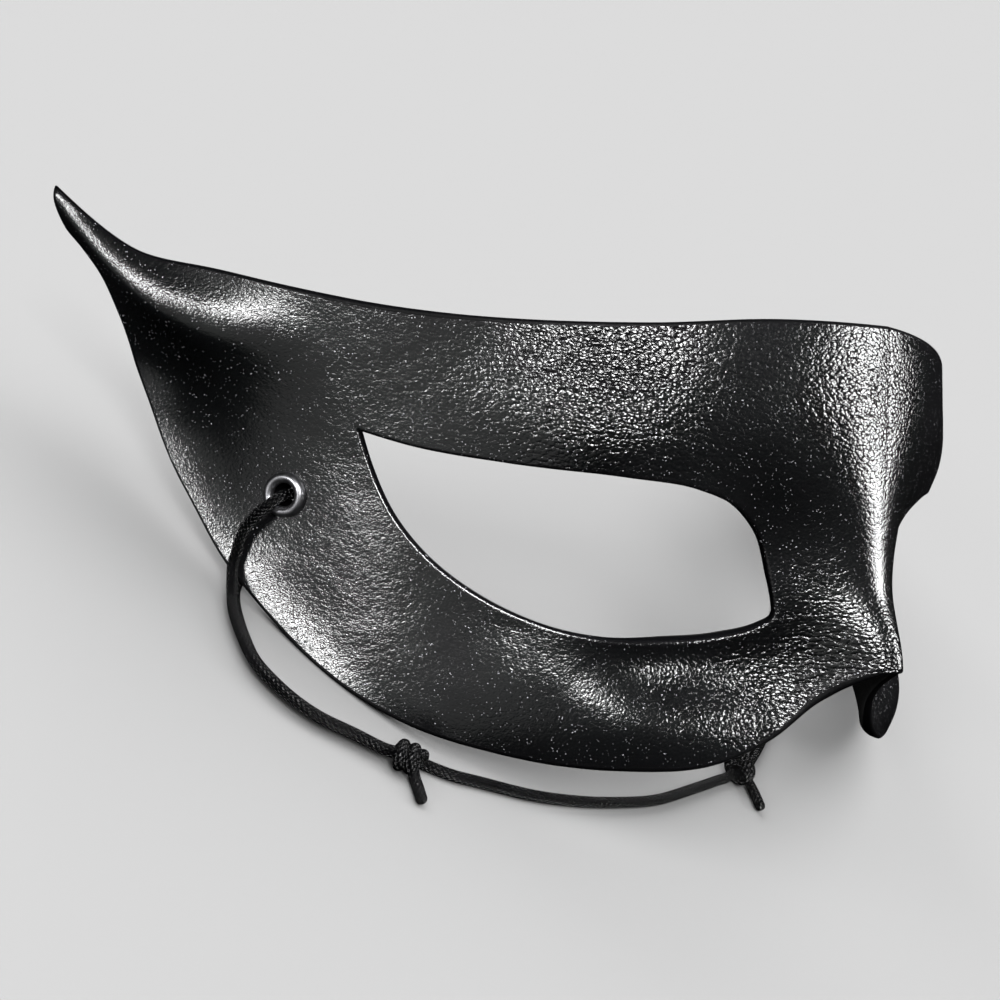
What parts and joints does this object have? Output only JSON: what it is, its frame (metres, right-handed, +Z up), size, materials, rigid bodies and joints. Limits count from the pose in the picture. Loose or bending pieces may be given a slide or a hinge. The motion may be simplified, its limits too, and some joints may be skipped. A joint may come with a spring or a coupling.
{
  "type": "elf mask",
  "caption": "Moulded leather half mask with almond eye openings, a pointed nose ridge and swept-back temple horns, tied with a knotted braided cord through temple eyelets.",
  "frame": {"origin": "centre of the mask's footprint, on the surface that it lies on", "axes": "+X to the wearer's left, +Y from the nose towards the horns, +Z up"},
  "size_m": [0.199, 0.125, 0.0789],
  "materials": {
    "leather": "satin, pebbled grain",
    "eyelet_metal": "polished dark nickel",
    "cord": "braided"
  },
  "bodies": {
    "root": {"mask_shell": "leather", "eyelet_near": "eyelet_metal", "eyelet_far": "eyelet_metal", "cord_near_outer": "cord", "cord_near_inner": "cord", "cord_middle": "cord", "cord_far_outer": "cord", "cord_far_inner": "cord", "cord_near_tail": "cord", "cord_far_tail": "cord", "knot_near": "cord", "knot_far": "cord"}
  },
  "joints": []
}
